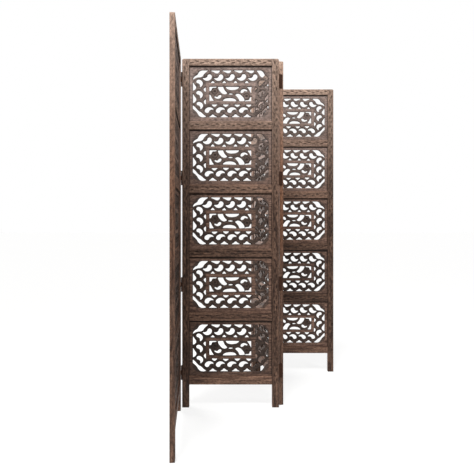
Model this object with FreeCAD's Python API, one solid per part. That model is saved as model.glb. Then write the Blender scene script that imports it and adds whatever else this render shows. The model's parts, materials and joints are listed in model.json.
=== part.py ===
import FreeCAD, Part
import math
import os

# A folding room screen of four carved and pierced wooden panels, standing in a zigzag.
# Each panel is a frame of two stiles and six rails, joined by stub tenons in a groove that
# runs round every opening. The same groove holds five pierced boards. Butt hinges with
# pins join the panels edge to edge, four hinges to a fold, and let each fold lie flat
# or close face to face.
#
# A panel is drawn in its own frame: x from its left edge, y from its front face to its
# back, z from the floor. The panels are then hung on each other from the second one,
# and all are moved so that the origin lies on the floor under the middle of the whole.

# Panel frame
PANEL_HEIGHT = 1829.0
PANEL_WIDTH = 508.0
FRAME_THICKNESS = 22.0
STILE_WIDTH = 36.0
LEG_HEIGHT = 120.0
BOTTOM_RAIL_HEIGHT = 44.0
MIDDLE_RAIL_HEIGHT = 44.0
TOP_RAIL_HEIGHT = 36.0
TOP_CORNER_RADIUS = 9.0
INSERTS_PER_PANEL = 5

# Grooves, tenons and the boards in them
GROOVE_DEPTH = 8.0
BOARD_THICKNESS = 9.5
BOARD_FACE_CLEARANCE = 0.25
BOARD_EDGE_CLEARANCE = 1.5

# Pierced pattern of a board: a band of scroll rings round a barred window. The rings of the
# side columns are a little smaller, and the rows are moved along, each towards its tails.
SIDE_BORDER = 17.0
END_BORDER = 22.0
RING_RADIUS = 28.0
COLUMN_RING_RADIUS = 24.0
RING_MARGIN = 5.0
CORNER_STEP_ALONG = 47.5
CORNER_STEP_UP = 33.5
ROW_SHIFT = 4.5
RINGS_ALONG = 5
RINGS_UP = 3
CORNER_CUT_ALONG = 48.0
CORNER_CUT_UP = 51.0
WINDOW_SIDE_BAR = 22.5
WINDOW_END_BAR = 18.0

# Hinges
HINGE_HEIGHT_SHARES = (0.101, 0.353, 0.658, 0.940)
LEAF_LENGTH = 75.0
LEAF_WIDTH = 17.0
LEAF_THICKNESS = 1.4
LEAF_CLEARANCE = 0.4
AXIS_OFFSET = 4.0
BARREL_RADIUS = 3.7
BARREL_SIDES = 6
KNUCKLES = 3
KNUCKLE_CLEARANCE = 0.3
PIN_RADIUS = 1.6
PIN_CLEARANCE = 0.05
PIN_PROUD = 0.8

# Angles between neighbouring panels as the screen stands, in degrees
FOLD_ANGLES = (85.25, 74.5, 74.5)
FLAT_ANGLE = 180.0

# How far a cut runs past what it cuts
OVERRUN = 2.0

# Outline of a ring's opening, a comma whose head lies to the right and whose tail runs
# left under the ring's eye, in shares of the ring's radius
COMMA_SHARES = (
    (0.08, -0.02),
    (-0.93, -0.26),
    (0.30, -0.95),
    (0.90, 0.38),
)

# The slot that cuts off the band's top left corner, from that corner along and down, in
# shares of the corner cut
CORNER_SLOT_SHARES = ((0.0, 1.0), (1.0, 0.0), (1.6, 0.0), (0.7, 0.74))

# Half of the window's scrollwork, in shares of the window's half width and half height.
# The other half is the same openings turned about the window's middle.
WINDOW_SHARES = (
    ((-0.28, 0.96), (0.46, 0.96), (0.09, 0.45)),
    ((-0.60, 0.96), (-0.32, 0.96), (-0.14, 0.08), (-0.46, 0.0)),
    ((-0.99, 0.0), (-0.78, -0.95), (-0.99, -0.95)),
)

OPENING_WIDTH = PANEL_WIDTH - 2 * STILE_WIDTH
MIDDLE_RAILS = INSERTS_PER_PANEL - 1
RAILS_TOTAL_HEIGHT = BOTTOM_RAIL_HEIGHT + MIDDLE_RAILS * MIDDLE_RAIL_HEIGHT + TOP_RAIL_HEIGHT
OPENING_HEIGHT = (PANEL_HEIGHT - LEG_HEIGHT - RAILS_TOTAL_HEIGHT) / INSERTS_PER_PANEL
FIRST_OPENING_Z = LEG_HEIGHT + BOTTOM_RAIL_HEIGHT
OPENING_PITCH = OPENING_HEIGHT + MIDDLE_RAIL_HEIGHT
GROOVE_WIDTH = BOARD_THICKNESS + 2 * BOARD_FACE_CLEARANCE
GROOVE_Y = (FRAME_THICKNESS - GROOVE_WIDTH) / 2
EDGE_GAP = 2 * LEAF_THICKNESS + LEAF_CLEARANCE

ORIGIN = FreeCAD.Vector(0, 0, 0)
UP = FreeCAD.Vector(0, 0, 1)


def box(x_range, y_range, z_range):
    """A box between two values on each axis, given in either order."""
    low = [min(pair) for pair in (x_range, y_range, z_range)]
    size = [abs(pair[1] - pair[0]) for pair in (x_range, y_range, z_range)]
    return Part.makeBox(size[0], size[1], size[2], FreeCAD.Vector(*low))


def side_by_side(shapes):
    """Separate solids that share one node."""
    return Part.makeCompound(shapes)


def left_stile():
    """Left stile: its leg, the stopped groove on its inner edge and its rounded top corner."""
    bar = box((0, STILE_WIDTH), (0, FRAME_THICKNESS), (0, PANEL_HEIGHT))
    top_corner = [
        edge for edge in bar.Edges
        if all(v.X == 0 and v.Z == PANEL_HEIGHT for v in edge.Vertexes)
    ]
    groove = box(
        (STILE_WIDTH - GROOVE_DEPTH, STILE_WIDTH + OVERRUN),
        (GROOVE_Y, GROOVE_Y + GROOVE_WIDTH),
        (LEG_HEIGHT, PANEL_HEIGHT + OVERRUN),
    )
    return bar.makeFillet(TOP_CORNER_RADIUS, top_corner).cut(groove)


def right_stile():
    """Right stile: the left one turned back to front, so that its groove faces inwards."""
    stile = left_stile()
    middle = FreeCAD.Vector(PANEL_WIDTH / 2, FRAME_THICKNESS / 2, 0)
    stile.rotate(middle, UP, FLAT_ANGLE)
    return stile


def rail(z_low, height, groove_below, groove_above):
    """One rail with a stub tenon at each end and a groove where a board meets it."""
    z_high = z_low + height
    inner_x = (STILE_WIDTH, PANEL_WIDTH - STILE_WIDTH)
    tenon_x = (inner_x[0] - GROOVE_DEPTH, inner_x[1] + GROOVE_DEPTH)
    groove_y = (GROOVE_Y, GROOVE_Y + GROOVE_WIDTH)
    body = box(inner_x, (0, FRAME_THICKNESS), (z_low, z_high))
    tenons = box(tenon_x, groove_y, (z_low, z_high))
    shape = body.fuse(tenons)
    groove_x = (tenon_x[0] - OVERRUN, tenon_x[1] + OVERRUN)
    if groove_below:
        shape = shape.cut(box(groove_x, groove_y, (z_low - OVERRUN, z_low + GROOVE_DEPTH)))
    if groove_above:
        shape = shape.cut(box(groove_x, groove_y, (z_high - GROOVE_DEPTH, z_high + OVERRUN)))
    return shape.removeSplitter()


def opening_z(index):
    """Underside of an opening, counted from the lowest."""
    return FIRST_OPENING_Z + index * OPENING_PITCH


def rails():
    """The six rails of a panel, by name."""
    found = {"bottom_rail": rail(LEG_HEIGHT, BOTTOM_RAIL_HEIGHT, False, True)}
    for index in range(MIDDLE_RAILS):
        z_low = opening_z(index) + OPENING_HEIGHT
        name = "middle_rail_%d" % (index + 1)
        found[name] = rail(z_low, MIDDLE_RAIL_HEIGHT, True, True)
    found["top_rail"] = rail(PANEL_HEIGHT - TOP_RAIL_HEIGHT, TOP_RAIL_HEIGHT, True, False)
    return found


def turned(points, degrees):
    """Outline points turned about the outline's own zero."""
    cosine = math.cos(math.radians(degrees))
    sine = math.sin(math.radians(degrees))
    return [(x * cosine - z * sine, x * sine + z * cosine) for x, z in points]


def mirrored(points):
    """Outline points swapped left for right."""
    return [(-x, z) for x, z in points]


def ring_outlines():
    """Comma openings of the scroll rings: a row above and below, a column at each side."""
    comma = [(x * RING_RADIUS, z * RING_RADIUS) for x, z in COMMA_SHARES]
    upright = [(-z * COLUMN_RING_RADIUS, x * COLUMN_RING_RADIUS) for x, z in COMMA_SHARES]
    column_x = OPENING_WIDTH / 2 - SIDE_BORDER - RING_MARGIN - RING_RADIUS
    row_z = OPENING_HEIGHT / 2 - END_BORDER - RING_MARGIN - RING_RADIUS
    along = (RINGS_ALONG - 1) / 2
    up = (RINGS_UP - 1) / 2
    pitch_along = (column_x - CORNER_STEP_ALONG) / along
    pitch_up = (row_z - CORNER_STEP_UP) / up
    placed = []
    for index in range(RINGS_ALONG):
        x = (index - along) * pitch_along - ROW_SHIFT
        placed.append((x, row_z, comma))
        placed.append((-x, -row_z, turned(comma, 180)))
    for index in range(RINGS_UP):
        z = (index - up) * pitch_up
        placed.append((-column_x, z, upright))
        placed.append((column_x, z, mirrored(upright)))
    return [[(x + u, z + w) for u, w in outline] for x, z, outline in placed]


def corner_outlines():
    """The slanting slot that cuts off each corner of the band."""
    half_x = OPENING_WIDTH / 2 - SIDE_BORDER
    half_z = OPENING_HEIGHT / 2 - END_BORDER
    slot = [
        (along * CORNER_CUT_ALONG - half_x, half_z - down * CORNER_CUT_UP)
        for along, down in CORNER_SLOT_SHARES
    ]
    upside_down = [(x, -z) for x, z in slot]
    return [slot, mirrored(slot), upside_down, mirrored(upside_down)]


def window_outlines():
    """Scrollwork openings of the barred window in the middle."""
    band = 2 * (RING_RADIUS + RING_MARGIN)
    half_x = OPENING_WIDTH / 2 - SIDE_BORDER - band - WINDOW_SIDE_BAR
    half_z = OPENING_HEIGHT / 2 - END_BORDER - band - WINDOW_END_BAR
    outlines = []
    for shares in WINDOW_SHARES:
        outline = [(x * half_x, z * half_z) for x, z in shares]
        outlines.append(outline)
        outlines.append(turned(outline, 180))
    return outlines


def through_cut(outline):
    """A prism on an outline of the pattern, right through a board."""
    points = [FreeCAD.Vector(x, -OVERRUN, z) for x, z in outline]
    face = Part.Face(Part.makePolygon(points + points[:1]))
    return face.extrude(FreeCAD.Vector(0, BOARD_THICKNESS + 2 * OVERRUN, 0))


def pierced_board():
    """One board, drawn about the middle of its opening, with its front face at y zero."""
    half_x = OPENING_WIDTH / 2 + GROOVE_DEPTH - BOARD_EDGE_CLEARANCE
    low_z = -OPENING_HEIGHT / 2 - GROOVE_DEPTH
    high_z = OPENING_HEIGHT / 2 + GROOVE_DEPTH - BOARD_EDGE_CLEARANCE
    blank = box((-half_x, half_x), (0, BOARD_THICKNESS), (low_z, high_z))
    outlines = ring_outlines() + corner_outlines() + window_outlines()
    return blank.cut(side_by_side([through_cut(outline) for outline in outlines])).Solids[0]


def seated_board(board, index, back_to_front):
    """A board in its place in a panel, or the same board put in back to front."""
    seated = board.copy()
    if back_to_front:
        seated.rotate(FreeCAD.Vector(0, BOARD_THICKNESS / 2, 0), UP, FLAT_ANGLE)
    seated.translate(FreeCAD.Vector(
        PANEL_WIDTH / 2,
        GROOVE_Y + BOARD_FACE_CLEARANCE,
        opening_z(index) + OPENING_HEIGHT / 2,
    ))
    return seated


def faceted_rod(radius, z_low, z_high):
    """A barrel, bore or pin about the hinge axis, with its corners at a given radius."""
    points = []
    for index in range(BARREL_SIDES + 1):
        angle = 2 * math.pi * (index % BARREL_SIDES) / BARREL_SIDES
        points.append(FreeCAD.Vector(radius * math.cos(angle), radius * math.sin(angle), z_low))
    return Part.Face(Part.makePolygon(points)).extrude(FreeCAD.Vector(0, 0, z_high - z_low))


def hinge_leaf(side, depth_sign, rows):
    """A leaf about its hinge axis: its plate on one edge and its knuckles in some rows."""
    plate_x = (side * (EDGE_GAP / 2 - LEAF_THICKNESS), side * EDGE_GAP / 2)
    plate_y = (depth_sign * AXIS_OFFSET, depth_sign * (AXIS_OFFSET + LEAF_WIDTH))
    half_length = LEAF_LENGTH / 2
    knuckle_length = (LEAF_LENGTH - (KNUCKLES - 1) * KNUCKLE_CLEARANCE) / KNUCKLES
    bore_radius = (PIN_RADIUS + PIN_CLEARANCE) / math.cos(math.pi / BARREL_SIDES)
    shape = box(plate_x, plate_y, (-half_length, half_length))
    for row in rows:
        z_low = -half_length + row * (knuckle_length + KNUCKLE_CLEARANCE)
        z_high = z_low + knuckle_length
        tongue = box(plate_x, (0, plate_y[0]), (z_low, z_high))
        shape = shape.fuse([tongue, faceted_rod(BARREL_RADIUS, z_low, z_high)])
    bore = faceted_rod(bore_radius, -half_length - OVERRUN, half_length + OVERRUN)
    return shape.cut(bore).removeSplitter().Solids[0]


def hinge_pin():
    """The pin of one hinge, a little proud of the barrel at both ends."""
    half_length = LEAF_LENGTH / 2 + PIN_PROUD
    return faceted_rod(PIN_RADIUS, -half_length, half_length)


def up_the_fold(piece, axis):
    """Copies of a hinge piece at each hinge height on one axis."""
    copies = []
    for share in HINGE_HEIGHT_SHARES:
        copy = piece.copy()
        copy.translate(FreeCAD.Vector(axis.x, axis.y, share * PANEL_HEIGHT))
        copies.append(copy)
    return side_by_side(copies)


def axis_point(right_edge, at_back):
    """A fold's axis in a panel's own frame, at its left or right edge, in front or behind."""
    x = PANEL_WIDTH + EDGE_GAP / 2 if right_edge else -EDGE_GAP / 2
    y = FRAME_THICKNESS + AXIS_OFFSET if at_back else -AXIS_OFFSET
    return FreeCAD.Vector(x, y, 0)


def hang(parent, parent_axis, own_axis, turn):
    """Placement of a panel hung on its neighbour's axis and turned about it from flat."""
    rotation = parent.Rotation.multiply(FreeCAD.Rotation(UP, turn))
    base = parent.multVec(parent_axis) - rotation.multVec(own_axis)
    return FreeCAD.Placement(base, rotation)


def panel_placements():
    """The four panels as they stand, about the middle of their common outline."""
    turns = [FLAT_ANGLE - angle for angle in FOLD_ANGLES]
    second = FreeCAD.Placement(ORIGIN, FreeCAD.Rotation(UP, 0))
    first = hang(second, axis_point(False, False), axis_point(True, False), turns[0])
    third = hang(second, axis_point(True, True), axis_point(False, True), turns[1])
    fourth = hang(third, axis_point(True, False), axis_point(False, False), -turns[2])
    placements = [first, second, third, fourth]
    corners = [
        place.multVec(FreeCAD.Vector(x, y, 0))
        for place in placements
        for x in (0, PANEL_WIDTH)
        for y in (0, FRAME_THICKNESS)
    ]
    middle = FreeCAD.Vector(
        (min(c.x for c in corners) + max(c.x for c in corners)) / 2,
        (min(c.y for c in corners) + max(c.y for c in corners)) / 2,
        0,
    )
    return [FreeCAD.Placement(place.Base - middle, place.Rotation) for place in placements]


def export(name, shape, place):
    """Writes one node, moved from its panel's own frame to where the panel stands."""
    moved = shape.copy()
    moved.Placement = place.multiply(moved.Placement)
    moved.exportStep("parts/%s.step" % name)


def export_frame_and_boards(places):
    """Stiles, rails and pierced boards of each panel; two panels hold theirs reversed."""
    frame_pieces = {"left_stile": left_stile(), "right_stile": right_stile()}
    frame_pieces.update(rails())
    board = pierced_board()
    for number, place in enumerate(places, start=1):
        for name, shape in frame_pieces.items():
            export("panel_%d_%s" % (number, name), shape, place)
        for index in range(INSERTS_PER_PANEL):
            insert = seated_board(board, index, number > 2)
            export("panel_%d_insert_%d" % (number, index + 1), insert, place)


def export_hinges(places):
    """Leaves and pins of the three folds, each on the panel that carries it."""
    leaf_places = (
        {"panel": 1, "edge": "right", "at_back": False, "holds_pin": False},
        {"panel": 2, "edge": "left", "at_back": False, "holds_pin": True},
        {"panel": 2, "edge": "right", "at_back": True, "holds_pin": True},
        {"panel": 3, "edge": "left", "at_back": True, "holds_pin": False},
        {"panel": 3, "edge": "right", "at_back": False, "holds_pin": True},
        {"panel": 4, "edge": "left", "at_back": False, "holds_pin": False},
    )
    pins = {}
    for leaf_place in leaf_places:
        panel = leaf_place["panel"]
        right_edge = leaf_place["edge"] == "right"
        axis = axis_point(right_edge, leaf_place["at_back"])
        leaf = hinge_leaf(
            -1 if right_edge else 1,
            -1 if leaf_place["at_back"] else 1,
            range(0 if leaf_place["holds_pin"] else 1, KNUCKLES, 2),
        )
        name = "panel_%d_%s_hinge_leaves" % (panel, leaf_place["edge"])
        export(name, up_the_fold(leaf, axis), places[panel - 1])
        if leaf_place["holds_pin"]:
            pins.setdefault(panel, []).extend(up_the_fold(hinge_pin(), axis).Solids)
    for panel, solids in pins.items():
        export("panel_%d_hinge_pins" % panel, side_by_side(solids), places[panel - 1])


os.makedirs("parts", exist_ok=True)
standing = panel_placements()
export_frame_and_boards(standing)
export_hinges(standing)
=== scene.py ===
import functools
import json
import math
import random

import bmesh
import bpy
import numpy as np
from mathutils import Matrix, Vector
from mathutils.kdtree import KDTree


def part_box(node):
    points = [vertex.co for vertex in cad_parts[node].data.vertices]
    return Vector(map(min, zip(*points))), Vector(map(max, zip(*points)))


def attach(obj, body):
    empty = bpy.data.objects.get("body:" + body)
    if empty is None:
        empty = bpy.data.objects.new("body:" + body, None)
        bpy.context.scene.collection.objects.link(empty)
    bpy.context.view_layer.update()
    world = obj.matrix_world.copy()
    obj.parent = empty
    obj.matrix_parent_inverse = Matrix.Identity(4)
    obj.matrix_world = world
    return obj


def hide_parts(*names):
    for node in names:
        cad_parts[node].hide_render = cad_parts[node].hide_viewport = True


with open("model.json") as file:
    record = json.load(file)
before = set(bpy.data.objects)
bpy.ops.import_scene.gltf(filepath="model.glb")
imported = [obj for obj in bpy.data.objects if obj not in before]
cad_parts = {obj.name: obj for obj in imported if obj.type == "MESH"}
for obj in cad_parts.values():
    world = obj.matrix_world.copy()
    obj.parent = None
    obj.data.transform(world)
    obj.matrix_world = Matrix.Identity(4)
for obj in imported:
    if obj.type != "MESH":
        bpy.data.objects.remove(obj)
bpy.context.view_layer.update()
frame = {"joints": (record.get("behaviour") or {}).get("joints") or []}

bl_info = {
    "name": "Carved jali folding screen",
    "version": (1, 0, 0),
    "blender": (4, 5, 0),
    "location": "View3D > Sidebar > Jali screen",
    "description": "Carves and finishes the hinged panels of a pierced wooden folding screen",
    "category": "Object",
}

# A panel's pieces are drawn in millimetres in the panel's own frame, x from its left edge,
# y from its front face to its back and z from the floor, and then put where it stands.
MM = 0.001
UP = Vector((0, 0, 1))
SIDEWAYS = Vector((1, 0, 0))
LAID = Matrix.Rotation(math.radians(90), 4, "Y")  # lays an upright length along x


def size_mm(node):
    """Width, depth and height of a CAD node of the second panel, which stands square."""
    low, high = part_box(node)
    return tuple(round(side / MM, 2) for side in high - low)


STILE_WIDTH, FRAME_THICKNESS, PANEL_HEIGHT = size_mm("panel_2_left_stile")
RAIL_LENGTH, _, MIDDLE_RAIL_HEIGHT = size_mm("panel_2_middle_rail_1")
TOP_RAIL_HEIGHT = size_mm("panel_2_top_rail")[2]
BOTTOM_RAIL_HEIGHT = size_mm("panel_2_bottom_rail")[2]
BOARD_WIDTH, BOARD_THICKNESS, BOARD_HEIGHT = size_mm("panel_2_insert_1")
LEG_HEIGHT = round(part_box("panel_2_bottom_rail")[0].z / MM, 2)
PANEL_WIDTH = 508.0
OPENING_WIDTH = PANEL_WIDTH - 2 * STILE_WIDTH
OPENING_HEIGHT = 290.6
OPENING_PITCH = OPENING_HEIGHT + MIDDLE_RAIL_HEIGHT
FIRST_OPENING_Z = LEG_HEIGHT + BOTTOM_RAIL_HEIGHT
BOARDS_PER_PANEL = 5
TOP_CORNER_RADIUS = 9.0
GROOVE_DEPTH = 8.0
GROOVE_WIDTH = 10.0
GROOVE_Y = (FRAME_THICKNESS - GROOVE_WIDTH) / 2
TENON_CLEARANCE = 0.1
BOARD_FACE_CLEARANCE = 0.25
BOARD_EDGE_CLEARANCE = 1.5
BOARD_FRONT_Y = GROOVE_Y + BOARD_FACE_CLEARANCE
OVERRUN = 2.0  # how far a cutter runs past the wood

# The vine of stiles and rails, which stops short of a stile's top and foot
VINE_END = 8.0
VINE_BAND = 13.0  # half the width of all its carving
POCKET_LEAN = 8.0
STAIN_AND_SHADE_DEPTH = 2.0  # depth at which stain and painted shade in the vine are darkest
SHOULDER_SHADE = 4.0  # how far painted shade at the joint with a stile reaches along a rail from its shoulder

# Hinges, as the CAD leaves and pins have them
HINGE_HEIGHT_SHARES = (0.101, 0.353, 0.658, 0.940)
LEAF_LENGTH = 75.0
LEAF_WIDTH = 17.0
LEAF_THICKNESS = 1.4
EDGE_GAP = 3.2
AXIS_OFFSET = 4.0
BARREL_RADIUS = 3.6
BORE_RADIUS = 1.68
PIN_RADIUS = 1.6
PIN_PROUD = 0.8
KNUCKLES = 3
KNUCKLE_CLEARANCE = 0.3
LEAF_CORNER_RADIUS = 2.2
BARREL_EASE = 0.35
TONGUE_Y = (2.5, AXIS_OFFSET + 0.6)  # joins the barrel's wall and the plate
SCREW_HEIGHTS = (-0.34 * LEAF_LENGTH, 0, 0.34 * LEAF_LENGTH)
SCREW_WIDTH_SHARES = (0.42, 0.68)
COUNTERSINK_RADII = (3.62, 1.78)

# Radius and height of a screw's outline from the middle of its head to its tip
SCREW_PROFILE = (
    (0.0, 0.0), (3.0, 0.0), (3.35, -0.12), (1.7, -1.75), (1.5, -2.2), (1.5, -10.5), (0.0, -14.0),
)

# Each fold as panel edges on its axis: panel, edge, barrel behind or not, carries the pin
LEAVES = (
    (1, "right", False, False), (2, "left", False, True), (2, "right", True, True),
    (3, "left", True, False), (3, "right", False, True), (4, "left", False, False),
)

# The pierced field of a board, its window and the outside of the window's frame, as half of
# their width and height, and what the two add up to where the field's corners are cut off
FIELD = (201.0, 124.0)
WINDOW = (112.5, 39.0)
WINDOW_FRAME = (131.0, 56.5)
FIELD_CORNER_CUT = 302.0

# Scroll rings: a first ring's place and its radius along and across in shares of RING_RADIUS,
# for the two rows, which repeat along the board, and for the columns, which repeat upwards
RING_RADIUS = 29.0
UPPER_ROW = (-3.0, 93.0, 1.0, 0.9)
LOWER_ROW = (7.5, -90.0, 1.0, 0.76)
COLUMN = (169.0, -2.5, 0.82, 0.87)
RING_PITCH = 60.0
COLUMN_PITCH = 58.0

# Comma opening of a scroll ring, in shares of the ring's radius. The third value is 1 at a
# sharp point of the outline and 0 where it runs smoothly on.
COMMA = (
    (-0.88, -0.34, 1), (-0.56, -0.72, 0), (-0.07, -0.91, 0), (0.45, -0.75, 0),
    (0.80, -0.27, 0), (0.79, 0.17, 0), (0.46, 0.43, 0), (0.12, 0.30, 0), (-0.02, -0.06, 0),
    (-0.32, -0.31, 0),
)

# Openings between two rings, about the middle between them: against the border and against
# the window's frame, in the upper band, and the same two in the lower band
UPPER_GAPS = (
    ((-14, 124, 1), (38, 124, 1), (30, 112, 0), (22, 109, 0), (2, 116.5, 0)),
    ((-13, 57.5, 1), (-5, 66, 0), (-1, 69, 0), (3, 66, 0), (10, 57.5, 1)),
)
LOWER_GAPS = (
    ((-24, -122, 1), (-10, -114, 0), (-4, -108, 0), (2, -108, 0), (9, -114, 0), (24, -122, 1)),
    ((-9, -55.5, 1), (-4, -60.5, 0), (8, -68, 0), (20, -60.5, 0), (26, -55.5, 1)),
)

# Openings at the left side of the board, mirrored on the right: beside the column of rings
# and the scalloped slots that cut off the lower corners
SIDE_OPENINGS = (
    ((-198, 63, 1), (-190, 50, 0), (-180.5, 35, 0), (-184, 26, 0), (-198, 17, 1)),
    ((-198, 2, 1), (-189, -12, 0), (-180.5, -26, 0), (-184, -37, 0), (-198, -49, 1)),
    ((-130.5, 36, 1), (-130.5, 9, 1), (-138, 17, 0), (-141.5, 25, 0)),
    ((-130.5, -27, 1), (-130.5, -57, 1), (-139, -47, 0), (-141, -38, 0)),
    ((-199, -59, 1), (-187, -70, 0), (-177, -82, 0), (-167, -91, 0), (-156, -97, 0),
     (-144, -108, 0), (-128, -119, 1), (-146, -123, 0), (-163, -118, 0), (-172, -108, 0),
     (-180, -96, 0), (-199, -78, 1)),
)

# The slots of the upper corners, which differ: the carver had less room on the right
UPPER_SLOTS = (
    ((-199, 74, 1), (-195, 85, 0), (-186, 94, 0), (-175, 101, 0), (-170, 110, 0),
     (-162, 119, 0), (-151, 124, 1), (-117, 124, 1), (-130, 114, 0), (-141, 103, 0),
     (-147, 93, 0), (-158, 87.5, 0), (-172, 86, 0), (-185, 82, 0)),
    ((199, 74, 1), (196, 85, 0), (189, 93, 0), (181, 100, 0), (176, 109, 0),
     (169, 118, 0), (159, 124, 1), (136, 124, 1), (143, 115, 0), (150, 105, 0),
     (156, 95, 0), (164, 88.5, 0), (176, 87, 0), (187, 82, 0)),
)

# Half of the window's scrollwork; the other half is the same turned about the middle, each
# opening then moved along by its shift
WINDOW_SHIFTS = (4, 6, 4, 0, 0)
WINDOW_OPENINGS = (
    ((-28, 37.5, 1), (47, 37.5, 1), (36, 27, 0), (14, 21.5, 0), (-6, 22, 0), (-20, 27.5, 0)),
    ((-68, 36.5, 1), (-41, 37.5, 1), (-34, 22, 0), (-18, 4, 1), (-29, -2, 0),
     (-42, 0, 0), (-55, 10.5, 0), (-64, 23, 0)),
    ((-85, -15, 0), (-71, -16, 0), (-61, -7.5, 0), (-51, -7, 0), (-50, -16.5, 0),
     (-62, -25.5, 0), (-77, -24, 0)),
    ((-111.5, 37.5, 1), (-73, 38, 1), (-79, 33, 0), (-96, 30.5, 0), (-103, 18, 0),
     (-111.5, 14, 1)),
    ((-111.5, -2, 1), (-105.5, -8, 0), (-99, -21, 0), (-88, -36.5, 1), (-111.5, -37, 1)),
)
WINDOW_SLIVER = ((-14, 0, 1), (0, 3.2, 0), (14, 0, 1), (0, -3.2, 0))

# Rosettes at the ends of the window's scroll
ROSETTE = (84.3, 12.3)
ROSETTE_RADIUS = 14.5
PETALS = 8
PETAL_CUT = 1.3
PETAL_RISE = 0.5

# Carved lines and drilled hollows of rings, their eyes and rosettes, as depth and half width
RING_LINE = (1.0, 1.0)
EYE_LINE = (1.3, 1.3)
EYE_HOLLOW = (1.5, 2.2)
ROSETTE_LINE = (1.7, 1.5)
ROSETTE_HOLLOW = (3.4, 5.2)
RING_LINE_RADIUS = 29.5
RING_REACH = 40.0
RING_LINE_MIDDLE = (1, -4)
EYE_MIDDLE = (-10, 5)
EYE_RADIUS = 8.0
EYE_RISE = 0.5
STRAND_EASE = 4.2  # how far from an opening's edge a strand is rounded
EDGE_STEP = 0.6  # spacing of the points that stand for an opening's edge
DEEPEST_CUT = 3.6
HAND_WANDER = 1.1  # how far each board's carving strays from the pattern
WANDER_MARGIN = 8.0  # how far outside the field it no longer strays
WANDER_FADE = 25.0  # over how far in from there it comes to stray fully

# How light the planks of some pieces are, from 0 to 1, partly painted shade: the second panel's left
# stile, shaded by the first panel, is dark. The others differ by chance
PLANK_TONES_AND_SHADE = {
    "panel_1_left_stile": 0.3,
    "panel_2_left_stile": 0.0,
    "panel_2_right_stile": 0.15,
    "panel_2_bottom_rail": 1.0,
    "panel_2_middle_rail_1": 0.7,
    "panel_2_middle_rail_2": 0.3,
    "panel_2_middle_rail_3": 0.8,
    "panel_2_middle_rail_4": 0.5,
    "panel_2_top_rail": 0.4,
    "panel_3_left_stile": 0.5,
    "panel_3_insert_1": 1.0,
    "panel_3_insert_2": 0.8,
    "panel_3_insert_3": 1.0,
    "panel_3_insert_4": 0.5,
    "panel_3_middle_rail_3": 0.2,
    "panel_3_middle_rail_4": 0.0,
    "panel_4_right_stile": 0.0,
}

TARNISH = "#2a1c17"

# Streaks, pores, clouds and mottles of the wood: size in mm across and along the grain, then
# detail, roughness and distortion. Real pores are finer and would not show.
WOOD_PATTERNS = (
    (9, 160, 5.0, 0.62, 0.5),
    (1.6, 22, 2.0, 0.5, 0.0),
    (60, 150, 3.0, 0.55, 0.0),
    (8, 14, 2.0, 0.6, 0.0),
)


def linear(hex_colour):
    """An sRGB hex colour as linear RGBA."""
    channels = [int(hex_colour[i:i + 2], 16) / 255 for i in (1, 3, 5)]
    scaled = [c / 12.92 if c <= 0.04045 else ((c + 0.055) / 1.055) ** 2.4 for c in channels]
    return (*scaled, 1.0)


def length_property(name, description, millimetres):
    """A size in metres with its default given in millimetres."""
    return bpy.props.FloatProperty(
        name=name, description=description, default=millimetres * MM, min=0.0,
        precision=5, subtype="DISTANCE", unit="LENGTH")


def colour_property(name, description, hex_colour):
    """A colour with its default given as sRGB hex."""
    return bpy.props.FloatVectorProperty(
        name=name, description=description, default=linear(hex_colour), size=4,
        min=0.0, max=1.0, subtype="COLOR")


class CarvingSizes(bpy.types.PropertyGroup):
    """Sizes of the carving."""

    vine_period: length_property(
        "Vine period", "Length of one wave of the vine on stiles and rails", 54.5)
    pocket_length: length_property("Pocket length", "Length of one leaf shaped pocket", 25.0)
    pocket_width: length_property("Pocket width", "Width of one leaf shaped pocket", 8.4)
    pocket_depth: length_property("Pocket depth", "Depth of one leaf shaped pocket", 2.4)
    pocket_offset: length_property(
        "Pocket offset", "Distance of a pocket's middle from the line of the vine", 4.6)
    line_offset: length_property(
        "Line offset", "Distance of the two incised lines from the line of the vine", 12.2)
    line_width: length_property(
        "Line width", "Width of the square tool that cuts the incised lines", 1.3)
    edge_rounding: length_property(
        "Edge rounding", "Rounding of the long edges of stiles and rails", 1.2)
    strand_rounding: length_property(
        "Strand rounding", "How far a strand of the jali falls away at its edge", 2.3)
    lattice_drop: length_property(
        "Lattice drop", "How far the strands lie below the board's border", 0.7)
    carving_grid: length_property("Carving grid", "Grid at which the boards are carved", 1.15)
    board_triangles: bpy.props.IntProperty(
        name="Board triangles", description="Triangles kept in one carved board",
        default=46000, min=2000, max=190000)


class FinishColours(bpy.types.PropertyGroup):
    """Colours of the wood and metal."""

    frame_light: colour_property(
        "Frame, light grain", "Lightest streaks of the stiles and rails", "#705647")
    frame_dark: colour_property(
        "Frame, dark grain", "Darkest streaks of the stiles and rails", "#33231c")
    board_light: colour_property("Board, light grain", "Lightest streaks of the jali boards", "#735a4d")
    board_dark: colour_property("Board, dark grain", "Darkest streaks of the jali boards", "#3a2922")
    # stain, and painted shade in the carving, beside and under the frame and on undersides; also the
    # colour of pores
    hollow: colour_property("Hollows", "Stain gathered in carved pockets and openings", "#17100c")
    # the carved strands, made darker and greyer than the border
    lattice: colour_property("Lattice", "Darker stain of the carved strands", "#322924")
    # wear, and a painted highlight on rounded edges
    worn: colour_property("Worn edges", "Wood rubbed bare on raised edges", "#784a2d")
    # pale wax, partly painted light: the upper part of the frames is made paler as if lit from above
    frame_waxed_and_top_lit: colour_property(
        "Frame, pale wax", "Pale wax left on the upper part of the frames", "#a78e7e")
    # pale wax, partly painted light: the upper boards are made paler as if lit from above
    board_waxed_and_top_lit: colour_property("Board, pale wax", "Pale wax left on the upper boards", "#a5928a")
    hinge: colour_property("Hinges", "Plated steel of leaves, pins and screws", "#432f26")
    floor: colour_property("Floor", "Studio floor", "#f4f3f1")


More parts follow.
